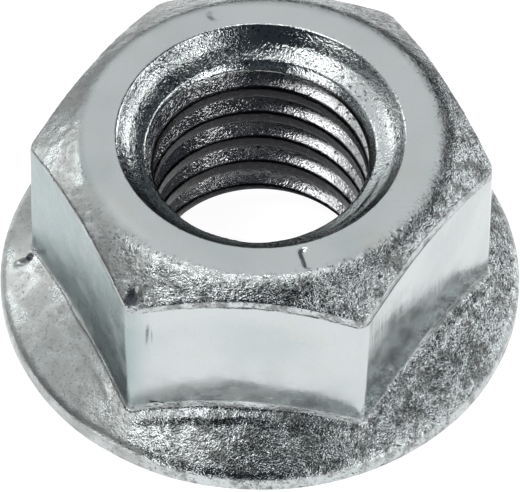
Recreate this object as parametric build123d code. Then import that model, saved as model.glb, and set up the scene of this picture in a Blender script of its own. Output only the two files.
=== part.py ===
from build123d import *
import math
import os

# Serrated hexagon flange nut, size M8, right-hand thread. All lengths are in millimetres.
# The origin is the centre of the bearing face, and +Z runs along the thread towards the hexagon's top.

# Thread
thread_diameter = 8.0
thread_pitch = 1.25
flank_angle = 60.0
minor_allowance = 0.265     # how far the bore is opened past the basic minor diameter
root_flat_share = 1 / 8     # flat at the bottom of the groove, as a share of the pitch
thread_depth_share = 5 / 8  # basic depth of the groove, as a share of the sharp thread's height

# Hexagon
across_flats = 13.0
nut_height = 8.0
corner_radius = 0.4         # rounded upright edges
crown_slope = 33.0          # chamfer over the corners, down from the top face
crown_inset = 0.69          # where that chamfer's line meets the top face, inside the flats
crown_radius = 1.4          # soft turn between the top face and the chamfer

# Flange
flange_diameter = 17.0
flange_slope = 30.0
rim_height = 1.0            # height at which the sloping face would reach the rim
rim_edge_height = 0.92      # top of the rim's upright side
rim_turn_width = 0.45       # steeper band between the sloping face and the rim
rim_turn_radius = 1.2       # soft line where that band begins
rim_under_width = 0.45      # sloping lower edge of the rim, across
rim_under_height = 0.4      # the same edge, upright
cove_radius = 1.0           # hollow at the foot of each flat
cove_reach = 0.1            # how far that hollow runs out from the flat
cove_bite = 0.02            # how far its upper end lies behind the flat

# Mouths of the bore
top_mouth_width = 0.65      # how far the top mouth stands out past the thread
top_mouth_depth = 1.15
top_mouth_radius = 2.0      # swelling of the mouth's wall
base_mouth_width = 0.45
base_mouth_slope = 45.0

# Ratchet serrations under the flange
serration_count = 30
serration_depth = 0.22      # at the outer edge of the bearing face
serration_land_share = 0.3  # flat tip of each tooth, as a share of the tooth spacing
serration_back_share = 0.1  # steep side of each tooth, as a share of the tooth spacing

cut_margin = 0.5            # how far cutters run past the faces that they cut
groove_overrun = 0.1        # how far the groove's cutter reaches into the bore

apothem = across_flats / 2
flange_radius = flange_diameter / 2
bearing_radius = flange_radius - rim_under_width
thread_radius = thread_diameter / 2
sharp_thread_height = thread_pitch / 2 / math.tan(math.radians(flank_angle / 2))
basic_minor_radius = thread_radius - thread_depth_share * sharp_thread_height
minor_radius = basic_minor_radius + minor_allowance / 2


def cone_height(radius):
    """Height of the flange's sloping face at a distance from the axis."""
    return rim_height + (flange_radius - radius) * math.tan(math.radians(flange_slope))


def turned(section):
    """Solid turned about the thread's axis from a flat section, drawn as distance out and height."""
    return revolve(Plane.XZ * section, axis=Axis.Z)


def corner_at(section, x, y):
    """Corner of a flat section nearest to a point."""
    return section.vertices().sort_by_distance((x, y, 0))[0]


def make_flange():
    """Sloping flange with a steeper edge, and the hollow that runs up into the flats."""
    cove_top_radius = apothem - cove_bite
    crease_radius = apothem + cove_reach
    crease_height = cone_height(crease_radius)
    turn_radius = flange_radius - rim_turn_width
    turn_height = cone_height(turn_radius)
    run = cove_top_radius + cove_radius - crease_radius
    cove_top_height = crease_height + math.sqrt(cove_radius**2 - run**2)
    outline = [
        Polyline(
            (0, cove_top_height),
            (0, 0),
            (bearing_radius, 0),
            (flange_radius, rim_under_height),
            (flange_radius, rim_edge_height),
            (turn_radius, turn_height),
            (crease_radius, crease_height),
        ),
        RadiusArc((crease_radius, crease_height), (cove_top_radius, cove_top_height), cove_radius),
        Line((cove_top_radius, cove_top_height), (0, cove_top_height)),
    ]
    section = make_face(outline)
    section = fillet(corner_at(section, turn_radius, turn_height), rim_turn_radius)
    return turned(section)


def make_hexagon():
    """Hexagonal prism with rounded upright edges, chamfered over its corners."""
    outline = RegularPolygon(radius=apothem, side_count=6, major_radius=False)
    outline = fillet(outline.vertices(), corner_radius)
    foot_height = rim_height / 2
    prism = Pos(0, 0, foot_height) * extrude(outline, nut_height - foot_height)
    crown_edge = apothem - crown_inset
    reach = across_flats
    drop = (reach - crown_edge) * math.tan(math.radians(crown_slope))
    crown = make_face(
        Polyline(
            (0, -drop),
            (0, nut_height),
            (crown_edge, nut_height),
            (reach, nut_height - drop),
            (reach, -drop),
            close=True,
        )
    )
    crown = fillet(corner_at(crown, crown_edge, nut_height), crown_radius)
    return prism & turned(crown)


def make_bore():
    """Bore at the thread's minor diameter, with a swelling mouth on top and a plain one below."""
    top_edge = thread_radius + top_mouth_width
    base_edge = thread_radius + base_mouth_width
    base_depth = (base_edge - minor_radius) * math.tan(math.radians(base_mouth_slope))
    outline = [
        Polyline(
            (top_edge, nut_height),
            (top_edge, nut_height + cut_margin),
            (0, nut_height + cut_margin),
            (0, -cut_margin),
            (base_edge, -cut_margin),
            (base_edge, 0),
            (minor_radius, base_depth),
            (minor_radius, nut_height - top_mouth_depth),
        ),
        RadiusArc(
            (minor_radius, nut_height - top_mouth_depth),
            (top_edge, nut_height),
            top_mouth_radius,
        ),
    ]
    return turned(make_face(outline))


def make_thread_groove():
    """Screw-shaped cutter for the groove between the thread's crests, one turn longer at each end."""
    flank_run = math.tan(math.radians(flank_angle / 2))
    inner_radius = minor_radius - groove_overrun
    root_half = root_flat_share * thread_pitch / 2
    inner_half = root_half + (thread_radius - inner_radius) * flank_run
    start = -thread_pitch
    turns = [
        Helix(thread_pitch, thread_pitch, thread_radius, center=(0, 0, start + i * thread_pitch))
        for i in range(math.ceil(nut_height / thread_pitch) + 2)
    ]
    section = Plane.XZ * Pos(0, start) * make_face(
        Polyline(
            (inner_radius, -inner_half),
            (thread_radius, -root_half),
            (thread_radius, root_half),
            (inner_radius, inner_half),
            close=True,
        )
    )
    return sweep(section, path=Wire([turn.edge() for turn in turns]), is_frenet=True)


def make_serration_cutter():
    """One wedge under the flange, growing from nothing at the axis, between two tooth tips."""
    spacing = math.radians(360 / serration_count)
    reach = flange_radius + cut_margin
    depth = serration_depth * reach / bearing_radius
    foot = reach * math.tan(spacing * serration_back_share)
    length = reach * math.tan(spacing * (1 - serration_land_share))
    section = Plane(origin=(reach, 0, 0), x_dir=(0, 1, 0), z_dir=(1, 0, 0)) * make_face(
        Polyline(
            (0, 0),
            (foot, depth),
            (length, 0),
            close=True,
        )
    )
    return loft([section.face(), Vertex(0, 0, 0)])


def make_nut():
    """The whole nut as one solid."""
    body = make_flange() + make_hexagon()
    body -= make_bore()
    body -= make_thread_groove()
    wedge = make_serration_cutter()
    turn = 360 / serration_count
    body -= [Rot(0, 0, i * turn) * wedge for i in range(serration_count)]
    return body


os.makedirs("parts", exist_ok=True)
export_step(make_nut(), "parts/flange_nut.step")
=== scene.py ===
import bpy
import math
from mathutils import Matrix, Vector, noise


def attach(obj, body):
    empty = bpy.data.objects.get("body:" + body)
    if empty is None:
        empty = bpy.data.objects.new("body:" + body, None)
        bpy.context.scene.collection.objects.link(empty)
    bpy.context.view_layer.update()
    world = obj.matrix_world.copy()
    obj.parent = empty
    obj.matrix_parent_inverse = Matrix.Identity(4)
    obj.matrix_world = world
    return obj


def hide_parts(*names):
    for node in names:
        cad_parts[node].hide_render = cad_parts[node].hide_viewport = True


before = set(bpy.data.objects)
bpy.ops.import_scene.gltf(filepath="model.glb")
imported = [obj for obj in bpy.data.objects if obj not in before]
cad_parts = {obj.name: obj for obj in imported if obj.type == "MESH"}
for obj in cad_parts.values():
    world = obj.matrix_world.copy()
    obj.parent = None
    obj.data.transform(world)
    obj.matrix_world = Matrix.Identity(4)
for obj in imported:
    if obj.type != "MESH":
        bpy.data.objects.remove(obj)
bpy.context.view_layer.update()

# The nut is modelled in millimetres and brought to metres at the end


def clearSelection():
    if bpy.context.object and bpy.context.object.mode != "OBJECT":
        bpy.ops.object.mode_set(mode="OBJECT")
    bpy.ops.object.select_all(action="DESELECT")


def pick(piece):
    clearSelection()
    piece.select_set(True)
    bpy.context.view_layer.objects.active = piece


def editAll(piece):
    pick(piece)
    bpy.ops.object.mode_set(mode="EDIT")
    bpy.ops.mesh.select_mode(type="VERT")
    bpy.ops.mesh.select_all(action="SELECT")


def arcPoints(centre, radius, startAngle, endAngle, count):
    points = []
    for i in range(count + 1):
        a = math.radians(startAngle + (endAngle - startAngle) * i / count)
        points.append((centre[0] + radius * math.cos(a), centre[1] + radius * math.sin(a)))
    return points


def drawProfile(name, points):
    # one vertex, pulled out along the points (distance from the axis, height)
    clearSelection()
    bpy.ops.mesh.primitive_plane_add(size=1)
    piece = bpy.context.object
    piece.name = name
    editAll(piece)
    bpy.ops.mesh.merge(type="CENTER")
    bpy.ops.transform.translate(value=(points[0][0], 0, points[0][1]))
    for start, end in zip(points, points[1:]):
        move = (end[0] - start[0], 0, end[1] - start[1])
        bpy.ops.mesh.extrude_region_move(TRANSFORM_OT_translate={"value": move})
    return piece


def spinProfile(name, points, steps):
    piece = drawProfile(name, points)
    bpy.ops.mesh.select_all(action="SELECT")
    bpy.ops.mesh.spin(steps=steps, angle=2 * math.pi, center=(0, 0, 0), axis=(0, 0, 1))
    bpy.ops.mesh.select_all(action="SELECT")
    # the seam and the points on the axis
    bpy.ops.mesh.remove_doubles(threshold=0.0004)
    bpy.ops.mesh.normals_make_consistent(inside=False)
    bpy.ops.object.mode_set(mode="OBJECT")
    return piece


def combine(piece, other, operation):
    pick(piece)
    step = piece.modifiers.new(operation.lower(), "BOOLEAN")
    step.operation = operation
    step.solver = "MANIFOLD"
    step.object = other
    bpy.ops.object.modifier_apply(modifier=step.name)
    bpy.data.objects.remove(other)
    print("  ", operation.lower(), len(piece.data.polygons), "faces")


nut = {
    "acrossFlats": 13.0,
    "height": 8.0,
    "flangeDiameter": 17.0,
    "spinSteps": 360,
    "arcSteps": 10,
}
apothem = nut["acrossFlats"] / 2
flangeRadius = nut["flangeDiameter"] / 2

# Flange

flange = {
    "slope": 30.0,
    "rimHeight": 1.0,
    "rimEdgeHeight": 0.92,
    "rimEdgeRound": 0.06,
    "rimTurnWidth": 0.45,
    "rimSwell": (0.2, 0.17),
    "turnEase": ((0, -0.01), (0.2, 0.11)),
    "rimUnderWidth": 0.45,
    "rimUnderHeight": 0.4,
    "coveRadius": 1.0,
    "coveReach": 0.1,
    "coveBite": 0.02,
}
coneFall = math.tan(math.radians(flange["slope"]))


def coneHeight(radius):
    return flange["rimHeight"] + (flangeRadius - radius) * coneFall


def makeFlange():
    edge = flange["rimEdgeHeight"]
    corner = flange["rimEdgeRound"]
    turnRadius = flangeRadius - flange["rimTurnWidth"]
    turnHeight = coneHeight(turnRadius)
    creaseRadius = apothem + flange["coveReach"]
    creaseHeight = coneHeight(creaseRadius)
    coveX = apothem - flange["coveBite"] + flange["coveRadius"]
    coveZ = creaseHeight + math.sqrt(flange["coveRadius"] ** 2 - (coveX - creaseRadius) ** 2)
    coveStart = 180 + math.degrees(math.atan2(coveZ - creaseHeight, coveX - creaseRadius))
    points = [(0, 0), (flangeRadius - flange["rimUnderWidth"], 0), (flangeRadius, flange["rimUnderHeight"])]
    points += [(flangeRadius, edge - corner), (flangeRadius - corner, edge + corner * 0.6)]
    # the steeper band swells a little between the rim and the slope
    points += [(flangeRadius - flange["rimSwell"][0], edge + flange["rimSwell"][1])]
    points += [(turnRadius - inward, turnHeight + rise) for inward, rise in flange["turnEase"]]
    points += arcPoints((coveX, coveZ), flange["coveRadius"], coveStart, 180, nut["arcSteps"])
    points += [(0, coveZ)]
    return spinProfile("nut", points, nut["spinSteps"])


# Hexagon

hexagon = {
    "foot": 0.5,
    "footCorner": 0.22,
    "topCorner": 0.5,
    "cornerSteps": 8,
    "crownSlope": 36.0,
    "crownInset": 0.72,
    "crownTurn": 1.4,
    "crownShift": (0.17, -0.10),
    "reach": 9.0,
}


def hexLoop(name, height, corner):
    clearSelection()
    bpy.ops.mesh.primitive_circle_add(
        vertices=6,
        radius=apothem / math.cos(math.pi / 6),
        fill_type="NGON",
        location=(0, 0, height),
        rotation=(0, 0, math.pi / 6),
    )
    loop = bpy.context.object
    loop.name = name
    bpy.ops.object.transform_apply(location=True, rotation=True, scale=True)
    editAll(loop)
    offset = corner * math.tan(math.pi / 6)
    steps = hexagon["cornerSteps"]
    bpy.ops.mesh.bevel(offset=offset, offset_type="OFFSET", segments=steps, affect="VERTICES")
    bpy.ops.mesh.select_all(action="SELECT")
    bpy.ops.mesh.delete(type="ONLY_FACE")
    bpy.ops.object.mode_set(mode="OBJECT")
    return loop


def makeHexagon():
    foot = hexLoop("hexagon", hexagon["foot"], hexagon["footCorner"])
    top = hexLoop("hexagonTop", nut["height"], hexagon["topCorner"])
    clearSelection()
    top.select_set(True)
    foot.select_set(True)
    bpy.context.view_layer.objects.active = foot
    bpy.ops.object.join()
    editAll(foot)
    bpy.ops.mesh.bridge_edge_loops()
    bpy.ops.mesh.select_all(action="SELECT")
    bpy.ops.mesh.fill_holes(sides=0)
    bpy.ops.mesh.select_all(action="SELECT")
    bpy.ops.mesh.normals_make_consistent(inside=False)
    bpy.ops.object.mode_set(mode="OBJECT")

    slope = hexagon["crownSlope"]
    edge = apothem - hexagon["crownInset"]
    turn = hexagon["crownTurn"]
    turnCentre = (edge - turn * math.tan(math.radians(slope / 2)), nut["height"] - turn)
    fall = (hexagon["reach"] - edge) * math.tan(math.radians(slope))
    points = [(0, nut["height"])]
    points += arcPoints(turnCentre, turn, 90, 90 - slope, nut["arcSteps"])
    points += [(hexagon["reach"], nut["height"] - fall), (hexagon["reach"], -1), (0, -1)]
    crown = spinProfile("crown", points, nut["spinSteps"])
    # the forging die sat a little off the thread's axis
    editAll(crown)
    bpy.ops.transform.translate(value=(hexagon["crownShift"][0], hexagon["crownShift"][1], 0))
    bpy.ops.object.mode_set(mode="OBJECT")
    combine(foot, crown, "INTERSECT")
    return foot


# Bore and thread

bore = {
    "minorRadius": 3.4559,
    "majorRadius": 4.0,
    "pitch": 1.25,
    "flankAngle": 60.0,
    "rootFlat": 0.125,
    "overrun": 0.12,
    "topMouth": 0.65,
    "topDepth": 1.12,
    "lipWidth": 0.40,
    "lipDepth": 0.45,
    "seatRadius": 3.70,
    "seatDepth": 0.75,
    "seatWidth": 0.28,
    "seatRise": 0.13,
    "lipTurn": (0.16, 0.20),
    "baseMouth": 0.45,
    "spare": 1.0,
    "threadSteps": 180,
    "threadTurns": 10,
    "turnsBelow": 2,
}


def makeBore():
    inner = bore["minorRadius"]
    topEdge = bore["majorRadius"] + bore["topMouth"]
    baseEdge = bore["majorRadius"] + bore["baseMouth"]
    top = nut["height"]
    points = [(0, -bore["spare"]), (baseEdge, -bore["spare"]), (baseEdge, 0), (inner, baseEdge - inner)]
    seat = (bore["seatRadius"], top - bore["seatDepth"])
    # steep at the thread, easier half way up and steep again under the lip
    points += [(inner, top - bore["topDepth"]), seat]
    points += [(seat[0] + bore["seatWidth"], seat[1] + bore["seatRise"])]
    points += [(topEdge - bore["lipWidth"], top - bore["lipDepth"])]
    points += [(topEdge - bore["lipTurn"][0], top - bore["lipTurn"][1]), (topEdge, top)]
    points += [(topEdge, top + bore["spare"]), (0, top + bore["spare"])]
    return spinProfile("bore", points, nut["spinSteps"])


def makeThreadCutter():
    flank = math.tan(math.radians(bore["flankAngle"] / 2))
    innerRadius = bore["minorRadius"] - bore["overrun"]
    rootHalf = bore["rootFlat"] * bore["pitch"] / 2
    innerHalf = rootHalf + (bore["majorRadius"] - innerRadius) * flank
    start = -bore["pitch"] * bore["turnsBelow"]
    points = [
        (innerRadius, start - innerHalf),
        (bore["majorRadius"], start - rootHalf),
        (bore["majorRadius"], start + rootHalf),
        (innerRadius, start + innerHalf),
    ]
    cutter = drawProfile("threadCutter", points)
    bpy.ops.mesh.select_all(action="SELECT")
    bpy.ops.mesh.edge_face_add()
    bpy.ops.object.mode_set(mode="OBJECT")
    pick(cutter)
    winding = cutter.modifiers.new("winding", "SCREW")
    winding.angle = 2 * math.pi
    winding.screw_offset = bore["pitch"]
    winding.iterations = bore["threadTurns"]
    winding.steps = bore["threadSteps"]
    winding.render_steps = bore["threadSteps"]
    winding.use_merge_vertices = False
    bpy.ops.object.modifier_apply(modifier="winding")
    editAll(cutter)
    bpy.ops.mesh.fill_holes(sides=0)
    bpy.ops.mesh.select_all(action="SELECT")
    bpy.ops.mesh.normals_make_consistent(inside=False)
    bpy.ops.object.mode_set(mode="OBJECT")
    return cutter


# Ratchet teeth under the flange, the steep sides facing one way

serrations = {
    "count": 30,
    "depth": 0.22,
    "land": 0.3,
    "steep": 0.1,
    "ridgeWidth": 0.02,
    "start": 3.0,
    "reach": 9.0,
    "bearingRadius": 8.05,
}


def makeSerrationCutters():
    spacing = 2 * math.pi / serrations["count"]
    clearSelection()
    bpy.ops.mesh.primitive_cube_add(size=1)
    wedge = bpy.context.object
    wedge.name = "serration"
    for corner in wedge.data.vertices:
        far = corner.co.x > 0
        left = corner.co.y < 0
        up = corner.co.z > 0
        radius = serrations["reach"] if far else serrations["start"]
        depth = serrations["depth"] * radius / serrations["bearingRadius"]
        steep = radius * math.tan(spacing * serrations["steep"])
        length = radius * math.tan(spacing * (1 - serrations["land"]))
        if up:
            corner.co = (radius, steep - serrations["ridgeWidth"] if left else steep, depth)
        else:
            # the sloping sides run on below the bearing face
            corner.co = (radius, -steep if left else 2 * length - steep, -depth)
    wedges = [wedge]
    for i in range(1, serrations["count"]):
        pick(wedge)
        bpy.ops.object.duplicate(linked=False)
        copy = bpy.context.object
        copy.data.transform(Matrix.Rotation(i * spacing, 4, "Z"))
        wedges.append(copy)
    return wedges


# Surface: one even skin over the cut solid, with softened edges and a forged unevenness

skin = {
    "voxel": 0.06,
    "smoothShare": 0.5,
    "smoothTurns": 3,
    "triangles": 190000,
    "hair": 0.0003,
}
regions = {
    "crown": {"radius": (5.5, 6.2), "height": (6.3, 7.0)},
    "flange": {"radius": (6.5, 6.9), "overCone": (0.6, 0.2)},
    "walls": {"radius": (5.0, 6.0)},
}
ripples = [
    {"name": "slowWave", "size": 2.6, "height": 0.05, "region": "walls", "depth": 2},
    {"name": "crownForging", "size": 0.3, "height": 0.03, "region": "crown", "depth": 3},
    {"name": "flangeForging", "size": 0.6, "height": 0.016, "region": "flange", "depth": 3},
]


def ramp(value, low, high):
    return min(1, max(0, (value - low) / (high - low)))


def regionShare(region, co):
    radius = math.hypot(co.x, co.y)
    share = ramp(radius, *region["radius"])
    if "height" in region:
        share *= ramp(co.z, *region["height"])
    if "overCone" in region:
        share *= ramp(co.z - coneHeight(radius), *region["overCone"])
    return share


def weigh(piece, name):
    group = piece.vertex_groups.new(name=name)
    for vertex in piece.data.vertices:
        share = regionShare(regions[name], vertex.co)
        if share > 0:
            group.add([vertex.index], share, "REPLACE")


def ripple(piece, wave):
    pattern = bpy.data.textures.new(wave["name"], "CLOUDS")
    pattern.noise_scale = wave["size"]
    pattern.noise_depth = wave["depth"]
    pick(piece)
    step = piece.modifiers.new(wave["name"], "DISPLACE")
    step.texture = pattern
    step.texture_coords = "LOCAL"
    step.strength = wave["height"]
    step.mid_level = 0.5
    step.vertex_group = wave["region"]
    bpy.ops.object.modifier_apply(modifier=wave["name"])


def makeSkin(piece):
    pick(piece)
    even = piece.modifiers.new("even", "REMESH")
    even.mode = "VOXEL"
    even.voxel_size = skin["voxel"]
    bpy.ops.object.modifier_apply(modifier="even")
    soften = piece.modifiers.new("soften", "SMOOTH")
    soften.factor = skin["smoothShare"]
    soften.iterations = skin["smoothTurns"]
    bpy.ops.object.modifier_apply(modifier="soften")
    print("   skin", len(piece.data.polygons), "faces")


def wearSkin(piece):
    for name in regions:
        weigh(piece, name)
    for wave in ripples:
        ripple(piece, wave)


def thin(piece):
    pick(piece)
    thinner = piece.modifiers.new("thinner", "DECIMATE")
    thinner.ratio = min(1, skin["triangles"] / (2 * len(piece.data.polygons)))
    bpy.ops.object.modifier_apply(modifier="thinner")
    print("   thinned", len(piece.data.polygons), "faces")


def keepInBox(piece):
    # a hair inside, which leaves room for most of the rounding in the change to metres
    limit = flangeRadius - skin["hair"]
    for vertex in piece.data.vertices:
        radius = math.hypot(vertex.co.x, vertex.co.y)
        if radius > limit:
            vertex.co.x *= limit / radius
            vertex.co.y *= limit / radius
        vertex.co.z = min(nut["height"], max(0, vertex.co.z))


# What the dies, the stamp and handling left on it

bead = {
    "width": 0.36,
    "step": 0.12,
    "rise": 0.09,
    "sideShare": 0.25,
    "frontHalf": (3.2, 4.2),
    "fade": (7.35, 7.85),
    "innerRadius": 6.2,
    "overCone": 0.35,
    "overRim": 0.2,
    "wander": ((0.10, 0.9), (0.03, 4)),
}
stamps = {
    "barAngle": -70.0,
    "barLength": (0.30, 0.46),
    "barWidth": (0.06, 0.22),
    "dotAngle": 110.0,
    "dotRadius": (0.14, 0.36),
    "depth": 0.07,
    "ringRadius": 5.25,
    "ring": (4.7, 6.0),
    "under": 0.2,
}
# each dent's place, its half sizes and how far its middle is pushed
dents = [
    {"at": (-7.75, -0.55, 1.45), "half": (0.40, 0.16, 0.5), "push": (0.0, 0.0, -0.12)},
    {"at": (-7.35, -0.25, 1.9), "half": (0.14, 0.14, 0.6), "push": (0.10, 0.0, -0.05)},
    {"at": (-3.05, -6.5, 5.4), "half": (0.15, 0.5, 1.2), "push": (0.0, 0.12, 0.0)},
    {"at": (-3.55, -6.2, 7.1), "half": (0.34, 0.5, 0.34), "push": (0.06, 0.12, -0.06)},
    {"at": (-2.85, -6.62, 2.05), "half": (0.34, 0.3, 0.10), "push": (0.0, 0.10, -0.03)},
]
markedFrom = 4.6


def hexDistance(x, y):
    best = 0
    for i in range(6):
        a = math.radians(30 + 60 * i)
        best = max(best, x * math.cos(a) + y * math.sin(a))
    return best - apothem


def beadRise(co, radius):
    # a narrow bead round the foot of the hexagon, squeezed up by the die, highest on the front side
    low = flange["rimUnderHeight"] + bead["overRim"]
    high = coneHeight(radius) + bead["overCone"]
    if radius <= bead["innerRadius"] or not low < co.z < high:
        return 0
    wander = sum(reach * noise.noise(co * pace) for reach, pace in bead["wander"])
    out = hexDistance(co.x, co.y) + wander
    rise = ramp(out, 0, bead["width"])
    fall = 1 - ramp(out, bead["width"], bead["width"] + bead["step"])
    near = 1 - ramp(radius, *bead["fade"])
    front = 1 - ramp(abs(co.x), *bead["frontHalf"]) if co.y < 0 else 0
    near *= bead["sideShare"] + (1 - bead["sideShare"]) * front
    return bead["rise"] * rise * fall * near


def stampFall(co, radius):
    # a plain bar and a plain dot on the top face
    if co.z <= nut["height"] - stamps["under"] or not stamps["ring"][0] < radius < stamps["ring"][1]:
        return 0
    turn = math.radians(stamps["barAngle"])
    along = co.x * math.cos(turn) + co.y * math.sin(turn) - stamps["ringRadius"]
    across = -co.x * math.sin(turn) + co.y * math.cos(turn)
    bar = (1 - ramp(abs(along), *stamps["barLength"])) * (1 - ramp(abs(across), *stamps["barWidth"]))
    turn = math.radians(stamps["dotAngle"])
    dotX = stamps["ringRadius"] * math.cos(turn)
    dotY = stamps["ringRadius"] * math.sin(turn)
    dot = 1 - ramp(math.hypot(co.x - dotX, co.y - dotY), *stamps["dotRadius"])
    return stamps["depth"] * max(bar, dot)


def dentShift(co):
    move = Vector((0, 0, 0))
    for dent in dents:
        offset = co - Vector(dent["at"])
        reach = math.sqrt(sum((offset[i] / dent["half"][i]) ** 2 for i in range(3)))
        if reach < 1:
            move += Vector(dent["push"]) * (0.5 + 0.5 * math.cos(math.pi * reach))
    return move


def markSkin(piece):
    for vertex in piece.data.vertices:
        radius = math.hypot(vertex.co.x, vertex.co.y)
        if radius > markedFrom:
            move = dentShift(vertex.co)
            move.z += beadRise(vertex.co, radius) - stampFall(vertex.co, radius)
            vertex.co += move


print("modelling the nut")
piece = makeFlange()
combine(piece, makeHexagon(), "UNION")
combine(piece, makeBore(), "DIFFERENCE")
combine(piece, makeThreadCutter(), "DIFFERENCE")
for wedge in makeSerrationCutters():
    combine(piece, wedge, "DIFFERENCE")
print("finishing its surface")
makeSkin(piece)
markSkin(piece)
wearSkin(piece)
thin(piece)
keepInBox(piece)
editAll(piece)
bpy.ops.transform.resize(value=(0.001, 0.001, 0.001), center_override=(0, 0, 0))
bpy.ops.object.mode_set(mode="OBJECT")
bpy.ops.object.shade_smooth()

# Zinc plating, with painted shade in its colour

zincPlatingAndShade = {
    "pale": (0.58, 0.615, 0.62, 1),
    "cool": (0.33, 0.405, 0.41, 1),
    "warm": (0.60, 0.61, 0.58, 1),
    # painted shade on the left side's crown and flange
    "dull": (0.40, 0.415, 0.405, 1),
    # painted shade in smeared patches on the crown and flange
    "smearShade": (0.17, 0.175, 0.17, 1),
    "thread": (0.50, 0.505, 0.51, 1),
    # painted shade on the thread's crests and roots
    "crestShade": (0.02, 0.02, 0.022, 1),
    # painted shade for the pits and the dents
    "dark": (0.05, 0.055, 0.065, 1),
    "roughness": (0.10, 0.20),
    "dullRoughness": 0.16,
    "grainHeight": 0.000022,
    "grainStrength": 1.0,
    "leftWallShadeShare": 0.9,
    "coolPatches": (0.4, 0.7, 0.0, 0.30),
    "warmPatches": (0.5, 0.75, 0.0, 0.5),
    "leftShadePatches": (0.35, 0.6, 0.35, 1.0),
    "smearShadePatches": (0.44, 0.60, 0.0, 0.8),
    "pitShadeSizes": (0.57, 0.68),
    "pitShadeShare": 0.8,
    "mattPatches": (0.35, 0.7),
    "dentShadeEdge": (1.5, 1.1),
    "dentShade": [((-3.66, -6.22, 7.05), 0.32), ((-7.55, -0.45, 1.6), 0.20), ((-2.9, -6.6, 2.1), 0.16)],
}
# each zone is a product of ramps: what is measured, where the ramp is 0 and where it is 1
zones = {
    "outside": [("radius", 4.6, 4.8)],
    "crown": [("crownSum", 11.9, 12.05), ("radius", 5.5, 6.1)],
    "top": [("height", 7.5, 7.9), ("radius", 6.1, 5.6)],
    "flange": [("coneSum", 6.25, 5.98), ("radius", 6.2, 6.5), ("height", 0.2, 0.45)],
    "bore": [("radius", 4.75, 4.55)],
    "thread": [("radius", 4.3, 4.1), ("height", 7.2, 6.8)],
    "crestShade": [("radius", 3.56, 3.50)],
    "root": [("radius", 3.93, 3.97)],
    "leftWallShade": [("across", -2.8, -4.2)],
    "dullAndShadedSide": [("across", -1.5, -4.5)],
}
# size in millimetres, detail and roughness
grains = {
    "fine": (0.07, 2.0, 0.6),
    "medium": (0.22, 3.0, 0.6),
    "broad": (0.9, 3.0, 0.55),
    "slow": (3.5, 2.0, 0.5),
    "smear": (0.8, 6.0, 0.8),
    "pitShade": (0.13, 2.0, 0.7),
    "drawn": (0.16, 3.0, 0.55),
    "turned": (0.06, 2.0, 0.6),
}
# how rough the grain is in each zone
coarse = {
    "crown": 1.5,
    "flange": 1.5,
    "bore": 0.85,
    "top": 0.03,
    "wall": 0.06,
    "grain": 0.8,
    "drawn": 0.22,
    "turned": 0.10,
    "drawnStretch": 0.045,
    "smoothSide": (-5.5, -1.5, 0.28, 1.0),
}


class Board:
    # short ways of placing and joining shader nodes
    def __init__(self, material):
        material.use_nodes = True
        self.nodes = material.node_tree.nodes
        self.links = material.node_tree.links
        self.shader = self.nodes["Principled BSDF"]

    def feed(self, socket, value):
        if isinstance(value, bpy.types.NodeSocket):
            self.links.new(value, socket)
        else:
            socket.default_value = value

    def maths(self, operation, first, second=0.0):
        node = self.nodes.new("ShaderNodeMath")
        node.operation = operation
        self.feed(node.inputs[0], first)
        self.feed(node.inputs[1], second)
        return node.outputs[0]

    def product(self, first, *others):
        for other in others:
            first = self.maths("MULTIPLY", first, other)
        return first

    def total(self, first, *others):
        for other in others:
            first = self.maths("ADD", first, other)
        return first

    def vectorMaths(self, operation, first, second, output="Vector"):
        node = self.nodes.new("ShaderNodeVectorMath")
        node.operation = operation
        self.feed(node.inputs[0], first)
        self.feed(node.inputs[1], second)
        return node.outputs[output]

    def between(self, value, low, high, newLow=0.0, newHigh=1.0):
        node = self.nodes.new("ShaderNodeMapRange")
        node.interpolation_type = "SMOOTHSTEP"
        self.feed(node.inputs["Value"], value)
        node.inputs["From Min"].default_value = low
        node.inputs["From Max"].default_value = high
        node.inputs["To Min"].default_value = newLow
        node.inputs["To Max"].default_value = newHigh
        return node.outputs["Result"]

    def stretch(self, vector, scale):
        node = self.nodes.new("ShaderNodeMapping")
        self.feed(node.inputs["Vector"], vector)
        node.inputs["Scale"].default_value = scale
        return node.outputs["Vector"]

    def noise(self, vector, grain):
        size, detail, rough = grain
        node = self.nodes.new("ShaderNodeTexNoise")
        self.feed(node.inputs["Vector"], vector)
        node.inputs["Scale"].default_value = 1 / size
        node.inputs["Detail"].default_value = detail
        node.inputs["Roughness"].default_value = rough
        return node.outputs["Fac"]

    def blend(self, share, first, second):
        node = self.nodes.new("ShaderNodeMix")
        node.data_type = "RGBA"
        self.feed(node.inputs["Factor"], share)
        self.feed(node.inputs["A"], first)
        self.feed(node.inputs["B"], second)
        return node.outputs["Result"]


def findZones(board, place):
    split = board.nodes.new("ShaderNodeSeparateXYZ")
    board.feed(split.inputs[0], place)
    height = split.outputs["Z"]
    flat = board.vectorMaths("MULTIPLY", place, (1, 1, 0))
    radius = board.vectorMaths("LENGTH", flat, (0, 0, 0), "Value")
    crownFall = math.tan(math.radians(hexagon["crownSlope"]))
    measures = {
        "radius": radius,
        "height": height,
        "across": split.outputs["X"],
        "crownSum": board.total(board.product(radius, crownFall), height),
        "coneSum": board.total(board.product(radius, coneFall), height),
    }
    on = {}
    for name, ramps in zones.items():
        on[name] = board.product(*[board.between(measures[what], low, high) for what, low, high in ramps])
    covered = board.total(board.maths("MAXIMUM", on["crown"], on["top"]), on["flange"])
    on["wall"] = board.maths("MAXIMUM", board.maths("SUBTRACT", on["outside"], covered), 0.0)
    on["forged"] = board.maths("MAXIMUM", on["flange"], on["crown"])
    # one side of the nut is rubbed smoother than the other; the same ramp makes the painted shade of dark
    # smears heavier on the rougher side
    on["side"] = board.between(measures["across"], *coarse["smoothSide"])
    return on, radius


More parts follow.
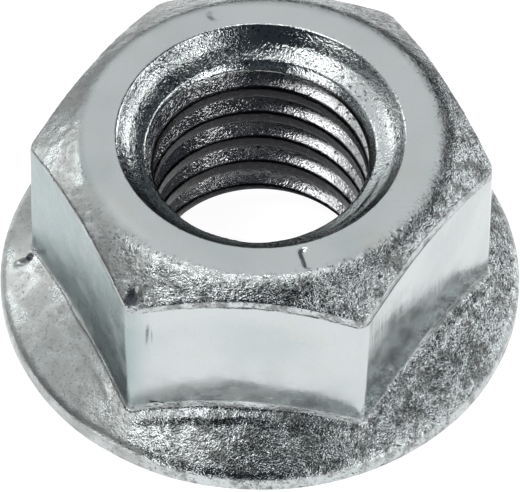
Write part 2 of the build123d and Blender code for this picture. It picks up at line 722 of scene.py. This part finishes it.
def addRelief(board, place, radius, on, fleck, rough):
    lines = board.noise(board.stretch(place, (1, 1, coarse["drawnStretch"])), grains["drawn"])
    ringAt = board.nodes.new("ShaderNodeCombineXYZ")
    board.feed(ringAt.inputs[0], radius)
    rings = board.noise(ringAt.outputs[0], grains["turned"])
    fine = board.product(board.noise(place, grains["fine"]), coarse["grain"])
    grain = board.product(board.total(fine, board.product(fleck, coarse["grain"])), rough)
    lines = board.product(lines, on["wall"], coarse["drawn"])
    rings = board.product(rings, on["top"], coarse["turned"])
    bump = board.nodes.new("ShaderNodeBump")
    bump.inputs["Distance"].default_value = zincPlatingAndShade["grainHeight"]
    bump.inputs["Strength"].default_value = zincPlatingAndShade["grainStrength"]
    board.feed(bump.inputs["Height"], board.total(grain, lines, rings))
    board.feed(board.shader.inputs["Normal"], bump.outputs["Normal"])


def addColour(board, place, on, fleck, broad, rough):
    slow = board.noise(place, grains["slow"])
    # painted shade: the walls on the left side are painted in the darker cool tone
    leftWallShade = board.product(on["leftWallShade"], on["wall"], zincPlatingAndShade["leftWallShadeShare"])
    coolShare = board.total(board.between(slow, *zincPlatingAndShade["coolPatches"]), leftWallShade)
    tone = board.blend(board.maths("MINIMUM", coolShare, 1.0), zincPlatingAndShade["pale"], zincPlatingAndShade["cool"])
    tone = board.blend(board.between(broad, *zincPlatingAndShade["warmPatches"]), tone, zincPlatingAndShade["warm"])
    # painted shade: the crown and flange on the left side are painted darker in broad patches; their extra
    # roughness is set further down
    leftShadeShare = board.product(on["dullAndShadedSide"], board.between(broad, *zincPlatingAndShade["leftShadePatches"]), on["forged"])
    tone = board.blend(leftShadeShare, tone, zincPlatingAndShade["dull"])
    # painted shade: dark smeared patches on the crown and the flange, heavier on the right side
    smearShadeShare = board.between(board.noise(place, grains["smear"]), *zincPlatingAndShade["smearShadePatches"])
    tone = board.blend(board.product(smearShadeShare, on["forged"], on["side"]), tone, zincPlatingAndShade["smearShade"])
    tone = board.blend(on["thread"], tone, zincPlatingAndShade["thread"])
    # painted shade: the thread's crests and roots are painted near black
    edges = board.maths("MAXIMUM", on["crestShade"], on["root"])
    tone = board.blend(board.product(on["thread"], edges), tone, zincPlatingAndShade["crestShade"])
    # painted shade: dark specks stand for the shade in small pits, heaviest where the grain is roughest
    pitShade = board.between(board.noise(place, grains["pitShade"]), *zincPlatingAndShade["pitShadeSizes"])
    pitShade = board.product(pitShade, board.maths("MINIMUM", rough, zincPlatingAndShade["pitShadeShare"]))
    tone = board.blend(pitShade, tone, zincPlatingAndShade["dark"])
    # painted shade: dark spots painted into the three dents
    outer, inner = zincPlatingAndShade["dentShadeEdge"]
    for spot, reach in zincPlatingAndShade["dentShade"]:
        away = board.vectorMaths("DISTANCE", place, spot, "Value")
        ragged = board.total(away, board.product(fleck, reach))
        tone = board.blend(board.between(ragged, reach * outer, reach * inner), tone, zincPlatingAndShade["dark"])
    board.feed(board.shader.inputs["Base Color"], tone)


def makeZinc():
    zinc = bpy.data.materials.new("zincPlatingAndShade")
    board = Board(zinc)
    coords = board.nodes.new("ShaderNodeTexCoord").outputs["Object"]
    place = board.stretch(coords, (1000, 1000, 1000))
    on, radius = findZones(board, place)
    fleck = board.noise(place, grains["medium"])
    broad = board.noise(place, grains["broad"])
    names = ("crown", "flange", "bore", "top", "wall")
    part = {name: board.product(on[name], coarse[name]) for name in names}
    rough = board.product(board.total(part["crown"], part["flange"]), on["side"])
    rough = board.total(rough, part["bore"], part["top"], part["wall"])
    addRelief(board, place, radius, on, fleck, rough)
    addColour(board, place, on, fleck, broad, rough)
    board.shader.inputs["Metallic"].default_value = 1
    matt = board.between(broad, *zincPlatingAndShade["mattPatches"], *zincPlatingAndShade["roughness"])
    dull = board.product(on["dullAndShadedSide"], on["outside"], zincPlatingAndShade["dullRoughness"])
    board.feed(board.shader.inputs["Roughness"], board.total(matt, dull))
    return zinc


piece.data.materials.clear()
piece.data.materials.append(makeZinc())
piece.name = "nut"
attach(piece, "root")
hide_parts("flange_nut")

# Floor, light and camera

studio = {
    "floorRadius": 0.045,
    "floorColour": (0.36, 0.36, 0.36, 1),
    "floorGlow": 0.92,
    "floorRoughness": 0.9,
    "surround": (0.028, 0.033, 0.042, 1),
    "wall": (0.80, 0.81, 0.81, 1),
    "wallDirection": (-0.45, 0.50, 0.74),
    "wallFrom": 0.50,
    "wallTo": 0.86,
    "backdrop": (0.97, 0.97, 0.97, 1),
    "softboxDistance": 0.5,
}
# azimuth 0 is in front, and grows towards the left
softboxes = [
    {"name": "leftSoftbox", "azimuth": 60, "elevation": 62, "size": (0.12, 0.10), "power": 0.30},
    {"name": "rightSoftbox", "azimuth": -58, "elevation": 42, "size": (0.14, 0.09), "power": 0.25},
    {"name": "sideSoftbox", "azimuth": -97, "elevation": 26, "size": (0.18, 0.08), "power": 0.25},
    {"name": "leftLowSoftbox", "azimuth": 44, "elevation": 12, "size": (0.22, 0.08), "power": 0.42},
    {"name": "rightLowSoftbox", "azimuth": -48, "elevation": 12, "size": (0.26, 0.08), "power": 0.48},
    {"name": "rimSoftbox", "azimuth": -128, "elevation": 11, "size": (0.16, 0.09), "power": 0.24},
    {"name": "farSoftbox", "azimuth": 120, "elevation": 20, "size": (0.10, 0.10), "power": 0.12},
    {"name": "topSoftbox", "azimuth": 180, "elevation": 84, "size": (0.18, 0.05), "power": 0.14},
]


def makeFloor():
    clearSelection()
    bpy.ops.mesh.primitive_circle_add(vertices=96, radius=studio["floorRadius"], fill_type="NGON")
    floor = bpy.context.object
    floor.name = "floor"
    paper = bpy.data.materials.new("palePaper")
    paper.use_nodes = True
    shader = paper.node_tree.nodes["Principled BSDF"]
    shader.inputs["Base Color"].default_value = studio["floorColour"]
    shader.inputs["Roughness"].default_value = studio["floorRoughness"]
    shader.inputs["Emission Color"].default_value = (1, 1, 1, 1)
    shader.inputs["Emission Strength"].default_value = studio["floorGlow"]
    floor.data.materials.append(paper)


def makeSoftbox(box):
    a = math.radians(box["azimuth"])
    e = math.radians(box["elevation"])
    away = Vector((-math.sin(a) * math.cos(e), -math.cos(a) * math.cos(e), math.sin(e)))
    spot = away * studio["softboxDistance"]
    clearSelection()
    bpy.ops.object.light_add(type="AREA", location=spot)
    lamp = bpy.context.object
    lamp.name = box["name"]
    lamp.rotation_euler = spot.to_track_quat("Z", "Y").to_euler()
    lamp.data.shape = "RECTANGLE"
    lamp.data.size = box["size"][0]
    lamp.data.size_y = box["size"][1]
    lamp.data.energy = box["power"]


view = {
    "azimuth": 3.796,
    "elevation": 50.96,
    "distance": 0.2051,
    "aimHeight": 0.0041,
    "roll": 0.453,
    "lens": 438.8,
    "shiftX": -0.0008,
    "shiftY": -0.0669,
}


def makeCamera():
    a = math.radians(view["azimuth"])
    e = math.radians(view["elevation"])
    back = Vector((math.sin(a) * math.cos(e), -math.cos(a) * math.cos(e), math.sin(e)))
    clearSelection()
    bpy.ops.object.camera_add(location=back * view["distance"] + Vector((0, 0, view["aimHeight"])))
    camera = bpy.context.object
    turn = back.to_track_quat("Z", "Y").to_matrix() @ Matrix.Rotation(math.radians(view["roll"]), 3, "Z")
    camera.rotation_euler = turn.to_euler()
    camera.data.lens = view["lens"]
    camera.data.sensor_width = 36
    camera.data.shift_x = view["shiftX"]
    camera.data.shift_y = view["shiftY"]
    camera.data.clip_start = 0.01
    camera.data.clip_end = 5
    bpy.context.scene.camera = camera


def makeWorld():
    world = bpy.data.worlds.new("studioAir")
    world.use_nodes = True
    nodes = world.node_tree.nodes
    links = world.node_tree.links
    air = nodes["Background"]
    # the room is pale behind and above the nut, and dark in front of it
    place = nodes.new("ShaderNodeTexCoord")
    facing = nodes.new("ShaderNodeVectorMath")
    facing.operation = "DOT_PRODUCT"
    facing.inputs[1].default_value = studio["wallDirection"]
    links.new(place.outputs["Generated"], facing.inputs[0])
    share = nodes.new("ShaderNodeMapRange")
    share.interpolation_type = "SMOOTHSTEP"
    share.inputs["From Min"].default_value = studio["wallFrom"]
    share.inputs["From Max"].default_value = studio["wallTo"]
    links.new(facing.outputs["Value"], share.inputs["Value"])
    tone = nodes.new("ShaderNodeMix")
    tone.data_type = "RGBA"
    tone.inputs["A"].default_value = studio["surround"]
    tone.inputs["B"].default_value = studio["wall"]
    links.new(share.outputs["Result"], tone.inputs["Factor"])
    links.new(tone.outputs["Result"], air.inputs["Color"])
    backdrop = nodes.new("ShaderNodeBackground")
    backdrop.inputs["Color"].default_value = studio["backdrop"]
    seen = nodes.new("ShaderNodeLightPath")
    mixer = nodes.new("ShaderNodeMixShader")
    links.new(seen.outputs["Is Camera Ray"], mixer.inputs[0])
    links.new(air.outputs[0], mixer.inputs[1])
    links.new(backdrop.outputs[0], mixer.inputs[2])
    links.new(mixer.outputs[0], nodes["World Output"].inputs["Surface"])
    bpy.context.scene.world = world


print("lighting the studio")
makeFloor()
makeWorld()
for box in softboxes:
    makeSoftbox(box)
makeCamera()
bpy.context.scene.view_settings.view_transform = "Standard"
